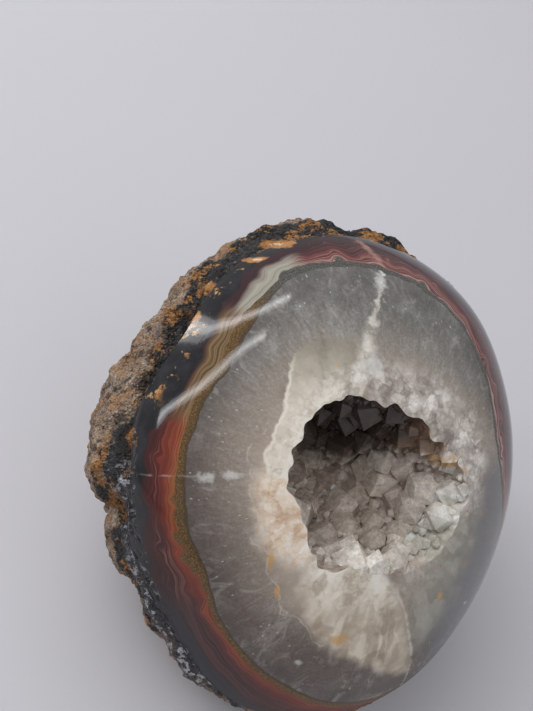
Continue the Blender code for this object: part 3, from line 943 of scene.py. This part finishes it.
def outer_band(finish, face, ring, bands, cosine, sine):
    """Black chalcedony outside the red, with orange flecks by the rind, and a painted lilac-gray reflection
    at the right.
    """
    cloud = finish.noise(face, 0.4, 3.0)
    black = finish.ramp(cloud, ((0.4, 0.007, 0.007, 0.009), (0.65, 0.022, 0.02, 0.024)))
    # Painted reflection: at the right the black is turned lilac-gray, as a grazing reflection of the pale
    # surroundings.
    right = finish.step(cosine - sine * 0.45, 0.3, 0.8)
    outer = finish.mix(right * 0.85, black, (0.19, 0.145, 0.145))
    flecks = finish.strands(ring, 9, 0.55, 0.6)
    rugged = finish.noise(face, 1.6, 4.0, 0.65)
    upper = finish.step(sine, 0.1, 0.4) * finish.step(cosine, 0.3, 0.1)
    share = finish.step(flecks + rugged * 0.4 - 0.2, 0.575, 0.625) * finish.step(bands, 3.2, 3.6) * upper
    outer = finish.mix(share, outer, finish.ramp(rugged, (
        (0.34, 0.14, 0.05, 0.015), (0.5, 0.34, 0.15, 0.035), (0.66, 0.52, 0.33, 0.15))))
    outer = with_inclusions(finish, face, outer)
    glints = finish.mark("pits") * finish.step(finish.noise(face, 1.1, 4.0, 0.65), 0.5, 0.58)
    return finish.mix(glints * 0.8, outer, (0.55, 0.55, 0.57))


def polished_agate():
    """The polished face: quartz by the hollow, then ochre, red and black bands out to the rind."""
    finish = Finish("polished_agate")
    face = finish.mark("face", vector=True)
    ring = finish.mark("ring", vector=True)
    split = finish.node("SeparateXYZ", {0: ring})
    cosine, sine = Wire(finish, split.outputs[0]), Wire(finish, split.outputs[1])
    wide = finish.noise(face, 0.16, 2.0) - 0.5
    wave = finish.noise(face, 0.55, 2.0) - 0.5
    scallops = finish.cells(face, 0.42, "SMOOTH_F1")
    calm = finish.step(sine, -0.2, -0.7, 1.0, 0.3)
    bands = finish.mark("band") + (wide * 0.5 + wave * 0.35 + scallops * 0.5 - 0.22) * calm
    layers = finish.mark("band") + (wide * 0.45 + wave * 0.06 + scallops * 0.4 - 0.18) * calm

    colour = gray_quartz(finish, face, ring, bands, sine)
    colour = pale_quartz(finish, colour, face, ring, wave)
    green = finish.step(finish.mark("green") + wave * 4, -3.0, 2.0)
    streaks = crystal_streaks(finish, face, ring, 10.0)
    colour = finish.mix(green * 0.7, colour, finish.ramp(streaks, (
        (0.2, 0.24, 0.235, 0.195), (0.5, 0.31, 0.305, 0.255), (0.8, 0.42, 0.415, 0.355))))
    slate = finish.step(finish.mark("slate") + wide * 6 + wave * 3, -2.0, 3.0)
    by_ledge = finish.step(finish.mark("fan_edge") + wide * 6, 9.0, 1.0)
    slate_colour = finish.mix(by_ledge, (0.165, 0.165, 0.175), (0.085, 0.088, 0.095))
    colour = finish.mix(slate * 0.85, colour, slate_colour)

    rugged = finish.noise(face, 1.3, 3.0) - 0.5
    broken = finish.ramp(broken_crystals(finish, face), (
        (0.22, 0.34, 0.31, 0.27), (0.42, 0.66, 0.61, 0.53), (0.6, 0.88, 0.84, 0.77)))
    crack = finish.mark("long_crack") + rugged * 1.6 + wave * 1.2
    colour = finish.mix(near(finish, crack, finish.mark("crack_width")) * 0.75, colour, broken)
    cloudy = finish.step(finish.mark("white_spots") + rugged * 1.8 + wave, 0.0, 1.0)
    colour = finish.mix(cloudy * 0.7, colour, (0.66, 0.65, 0.63))
    orange = finish.step(finish.mark("orange_spots") + rugged * 1.4, 0.0, 0.8)
    colour = finish.mix(orange * 0.7, colour, (0.62, 0.33, 0.08))
    ledge = near(finish, finish.mark("fan_edge") + rugged * 0.8, 0.3)
    colour = finish.mix(ledge * 0.5, colour, (0.7, 0.66, 0.6))

    ochre = ochre_band(finish, face, cosine, sine, bands - 1.0)
    colour = finish.mix(finish.step(bands, 0.9, 1.0), colour, ochre)
    red = red_bands(finish, face, ring, layers, cosine, sine)
    colour = finish.mix(finish.step(bands, 1.93, 2.05), colour, red)
    outer = outer_band(finish, face, ring, bands, cosine, sine)
    colour = finish.mix(finish.step(bands, 2.9, 3.04), colour, outer)
    across_red = near(finish, crack, 0.9) * finish.step(bands, 1.9, 2.2) * finish.step(bands, 3.1, 2.8)
    colour = finish.mix(across_red * 0.6, colour, (0.5, 0.27, 0.22))
    faded = finish.step(finish.noise(face, 0.5, 2.0), 0.35, 0.6)
    side = near(finish, finish.mark("side_crack") + rugged * 0.2, 0.22)
    colour = finish.mix(side * faded * 0.4, colour, (0.6, 0.5, 0.45))

    scratches = finish.noise(face, 5.0, 2.0)
    return finish.finish(
        Base_Color=colour,
        Roughness=finish.step(scratches, 0.3, 0.7, 0.04, 0.1),
        IOR=1.54,
        Subsurface_Weight=0.12,
        Subsurface_Radius=(0.0016, 0.0012, 0.001),
        Subsurface_Scale=1.0,
        Normal=finish.bump(scratches, 0.002, 0.3),
    )


def rough_rind():
    """The rind: granular tan and rust, charcoal with orange flecks by the rim, glossy by the pitted edge."""
    finish = Finish("rough_rind")
    face = finish.mark("face", vector=True)
    ring = finish.mark("ring", vector=True)
    past = finish.mark("past")
    coarse = finish.noise(face, 0.3, 4.0, 0.6)
    fine = finish.noise(face, 2.0, 4.0, 0.7)
    tan = finish.ramp(fine * 0.65 + coarse * 0.35, (
        (0.36, 0.048, 0.034, 0.026), (0.45, 0.16, 0.112, 0.08), (0.54, 0.34, 0.245, 0.175),
        (0.66, 0.56, 0.46, 0.355)))

    def patches(shift, scale, detail, roughness, low, high):
        return finish.step(finish.noise(finish.shifted(face, shift), scale, detail, roughness), low, high)

    rust = patches((9, 0, 0), 0.4, 5.0, 0.65, 0.48, 0.6)
    tan = finish.mix(rust * 0.75, tan, finish.mix(fine, (0.19, 0.085, 0.04), (0.52, 0.3, 0.14)))
    bloom = patches((0, 9, 0), 0.4, 3.0, 0.5, 0.56, 0.66)
    tan = finish.mix(bloom * 0.4, tan, (0.19, 0.18, 0.185))
    # Painted shade: dark noise patches stand in for the shadows between the rind's grains.
    painted_cleft_shade = patches((0, 0, 9), 0.5, 4.0, 0.6, 0.43, 0.36)
    tan = finish.mix(painted_cleft_shade * 0.85, tan, (0.025, 0.02, 0.018))
    charcoal = finish.ramp(fine, ((0.42, 0.01, 0.01, 0.011), (0.66, 0.07, 0.063, 0.062)))
    flecks = finish.strands(ring, 9, 0.5, 0.6)
    fleck_colour = finish.ramp(fine, (
        (0.35, 0.11, 0.045, 0.018), (0.5, 0.28, 0.12, 0.035), (0.65, 0.42, 0.23, 0.09)))
    charcoal = finish.mix(finish.step(flecks + fine * 0.4 - 0.2, 0.51, 0.57), charcoal, fleck_colour)
    rim = finish.step(finish.mark("rim") + coarse * 12 - 6, -0.5, -3.0)
    colour = finish.mix(rim, tan, charcoal)
    near_rim = finish.step(past, 9.0, 5.0)
    colour = finish.mix(near_rim, colour, with_inclusions(finish, face, colour))
    # Painted shade: the rind is made near black down in the crevice.
    crevice_shade = finish.step(finish.mark("crevice"), 0.35, 0.85)
    colour = finish.mix(crevice_shade * 0.9, colour, (0.01, 0.009, 0.009))
    glossy = finish.mark("glossy") * finish.step(past + coarse * 4 - 2, 9.0, 4.0)
    colour = finish.mix(glossy * 0.85, colour, (0.035, 0.034, 0.042))
    glints = glossy * finish.step(finish.noise(face, 0.9, 4.0, 0.65), 0.53, 0.6)
    colour = finish.mix(glints * 0.7, colour, (0.58, 0.58, 0.6))
    pitted = finish.cells(face, 1.1, "SMOOTH_F1") * 0.6 + finish.cells(face, 3.0) * 0.35 + coarse * 0.6
    return finish.finish(
        Base_Color=colour,
        Roughness=finish.step(glossy, 0.1, 0.8, 0.75, 0.13),
        IOR=1.5,
        Normal=finish.bump(pitted, 0.9, 1.0),
    )


def quartz_points():
    """Quartz points: milky near the face, smoky and clearer deeper down, stained, with painted shade, light
    and glints.
    """
    finish = Finish("quartz_points")
    face = finish.mark("face", vector=True)
    shade = finish.mark("shade")
    deep = finish.step(finish.mark("deep") + shade * 4, 3.0, 13.0)
    cloud = finish.noise(face, 0.9, 4.0, 0.6)
    tone = shade * 0.4 + cloud * 0.6
    milky = finish.ramp(tone, ((0.3, 0.5, 0.45, 0.395), (0.5, 0.68, 0.625, 0.555), (0.7, 0.86, 0.82, 0.76)))
    smoky = finish.ramp(tone, ((0.3, 0.42, 0.335, 0.28), (0.5, 0.62, 0.52, 0.445), (0.7, 0.84, 0.75, 0.66)))
    colour = finish.mix(deep, milky, smoky)
    streaks = finish.noise(face, 1.6, 5.0, 0.7, 0.8)
    streaked = finish.ramp(streaks, ((0.36, 0.78, 0.77, 0.76), (0.64, 1.16, 1.16, 1.16)))
    colour = finish.mix(1.0, colour, streaked, "MULTIPLY")
    # Painted glints: the few small crystals with the highest shade are coloured near white.
    palest = finish.step(shade, GLINT_TONE, GLINT_TONE + 0.02)
    colour = finish.mix(palest, colour, (0.97, 0.97, 0.94))
    colour = hollow_tint(finish, face, colour)
    veins = finish.noise(face, 1.4, 3.0, 0.6, 0.8)
    clear = finish.step(veins, 0.42, 0.6)
    return finish.finish(
        Base_Color=colour,
        Roughness=finish.step(veins, 0.35, 0.65, 0.03, 0.12),
        IOR=1.544,
        Transmission_Weight=clear * 0.12 + deep * 0.18,
        Normal=finish.bump(veins * 0.7 + finish.noise(face, 4.0, 3.0, 0.7) * 0.3, 0.25, 0.55),
    )


def inside(finish, face, place):
    """1 in a place inside the hollow, fading to 0 at its ragged edge."""
    middle, reaches = place
    apart = finish.shifted(face, [-value for value in middle])
    scaled = finish.stretch(apart, [1 / value for value in reaches])
    away = finish.node("VectorMath", {0: scaled}, operation="LENGTH")
    cloud = finish.noise(face, 0.45, 3.0)
    return finish.step(Wire(finish, away.outputs["Value"]) + cloud * 0.5 - 0.25, 1.0, 0.6)


def hollow_tint(finish, face, colour):
    """Iron stain at the upper right, painted shade (dark smoky) at the upper left, painted light (pale) low
    at the right.
    """
    patches = finish.step(finish.noise(face, 0.3, 2.0), 0.6, 0.7)
    stain = finish.reckon("MAXIMUM", inside(finish, face, STAIN), patches * 0.35)
    colour = finish.mix(inside(finish, face, GREEN_SPOT) * 0.6, colour, (0.47, 0.46, 0.39))
    # Painted light: crystals low at the right are made paler where light falls into the hollow.
    colour = finish.mix(inside(finish, face, PAINTED_LIGHT_SPOT) * 0.5, colour, (0.9, 0.9, 0.84))
    colour = finish.mix(stain * 0.9, colour, (0.2, 0.108, 0.058))
    # Painted shade: the overhung upper left of the hollow is coloured dark.
    colour = finish.mix(inside(finish, face, PAINTED_SHADE_SPOT) * 0.95, colour, (0.058, 0.04, 0.033))
    rust = inside(finish, face, RUST_SPOT) * finish.step(finish.noise(face, 1.5, 3.0), 0.3, 0.55)
    return finish.mix(rust * 0.75, colour, (0.62, 0.33, 0.09))


def quartz_wall():
    """The wall that the crystals grow from: frosty gray-brown quartz."""
    finish = Finish("quartz_wall")
    face = finish.mark("face", vector=True)
    colour = finish.ramp(finish.noise(face, 0.8, 4.0), (
        (0.35, 0.28, 0.22, 0.18), (0.55, 0.46, 0.385, 0.33), (0.7, 0.66, 0.59, 0.52)))
    colour = hollow_tint(finish, face, colour)
    return finish.finish(
        Base_Color=colour,
        Roughness=0.4,
        IOR=1.54,
        Normal=finish.bump(finish.cells(face, 1.2), 0.4, 0.7),
    )


def pale_floor():
    finish = Finish("pale_floor")
    place = Wire(finish, finish.node("TexCoord").outputs["Object"])
    colour = finish.ramp(finish.noise(place, 4.0, 3.0), ((0.3, 0.54, 0.53, 0.56), (0.7, 0.57, 0.56, 0.585)))
    return finish.finish(Base_Color=colour, Roughness=0.7)


# Stage, lights and camera.


def make_floor():
    shape = bmesh.new()
    bmesh.ops.create_grid(shape, x_segments=FLOOR_PARTS, y_segments=FLOOR_PARTS, size=FLOOR_SIZE / 2)
    floor = object_of(shape, "floor")
    floor.data.materials.append(pale_floor())
    return floor


def towards(azimuth, elevation):
    """A direction from degrees: azimuth from +Y towards +X, and elevation above the horizon."""
    across, height = math.radians(azimuth), math.radians(elevation)
    level = math.cos(height)
    return Vector((math.sin(across) * level, math.cos(across) * level, math.sin(height)))


def area_light(name, place, aim, width, height, radiance, turn=None):
    """A rectangular light that faces aim, with its height along turn when that is given."""
    data = bpy.data.lights.new(name, "AREA")
    data.shape = "RECTANGLE"
    data.size, data.size_y = width, height
    data.energy = radiance * math.pi * width * height
    made = add_object(name, data)
    back = (place - aim).normalized()
    up = turn if turn is not None else Vector((0, 0, 1))
    right = up.cross(back).normalized()
    up = back.cross(right)
    made.matrix_world = Matrix.Translation(place) @ Matrix((right, up, back)).transposed().to_4x4()
    return made


def make_lights():
    """A large soft key, a fill from the front, and two long strips that the polished face reflects."""
    middle = MIDDLE * MM
    for name, (direction, distance, size, radiance) in (("key", KEY_LIGHT), ("fill", FILL_LIGHT)):
        soft = area_light(name, middle + towards(*direction) * distance, middle, size, size, radiance)
        soft.visible_glossy = False
    for name, corners in (("left_strip", LEFT_STRIP), ("right_strip", RIGHT_STRIP)):
        places = [middle + towards(*corner) * STRIP_DISTANCE for corner in corners]
        for start, end in zip(places, places[1:]):
            along = end - start
            for width, radiance in zip(STRIP_WIDTHS, STRIP_RADIANCES):
                area_light(name, (start + end) / 2, middle, width, along.length, radiance, along)
    world = bpy.data.worlds.new("soft_studio")
    bpy.context.scene.world = world
    world.use_nodes = True
    sky = world.node_tree.nodes["Background"]
    sky.inputs["Color"].default_value = (*SKY_COLOUR, 1)
    sky.inputs["Strength"].default_value = SKY_STRENGTH


def make_camera():
    data = bpy.data.cameras.new("camera")
    data.sensor_width = SENSOR_MM
    data.lens = SENSOR_MM * FOCAL_PIXELS / IMAGE_HEIGHT
    data.clip_start = 1 * MM
    made = add_object("camera", data)
    back = CAMERA_BACK.normalized()
    right = CAMERA_UP.cross(back).normalized()
    turn = Matrix((right, back.cross(right), back)).transposed().to_4x4()
    made.matrix_world = Matrix.Translation(MIDDLE * MM + CAMERA_PLACE) @ turn
    bpy.context.scene.camera = made


def dress(piece, node, slot_name, *materials):
    """Gives a piece its materials, attaches it to the root body and hides the solid that it stands for."""
    for material in materials:
        piece.data.materials.append(material)
    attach(piece, "root")
    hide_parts(node)


def main():
    columns = np.arange(COLUMNS) * TURN / COLUMNS
    seat_down, _, _ = mouth_edge(lambda around: np.full_like(around, CRUST_THICKNESS))
    edge = mouth_edge(mouth_jag)
    polish = polished_agate()
    dress(make_polished_face(columns, seat_down), "agate_nodule", "agate", polish)
    dress(make_rind(columns), "agate_nodule", "agate", rough_rind())
    crust, inner = make_crust(columns, seat_down, edge)
    dress(crust, "crystal_crust", "quartz", polish, quartz_wall())
    crust.data.polygons.foreach_set("material_index", inner)
    dress(make_crystals(), "crystal_crust", "quartz", quartz_points())
    make_floor()
    make_lights()
    make_camera()
    bpy.context.scene.view_settings.view_transform = "Standard"


main()
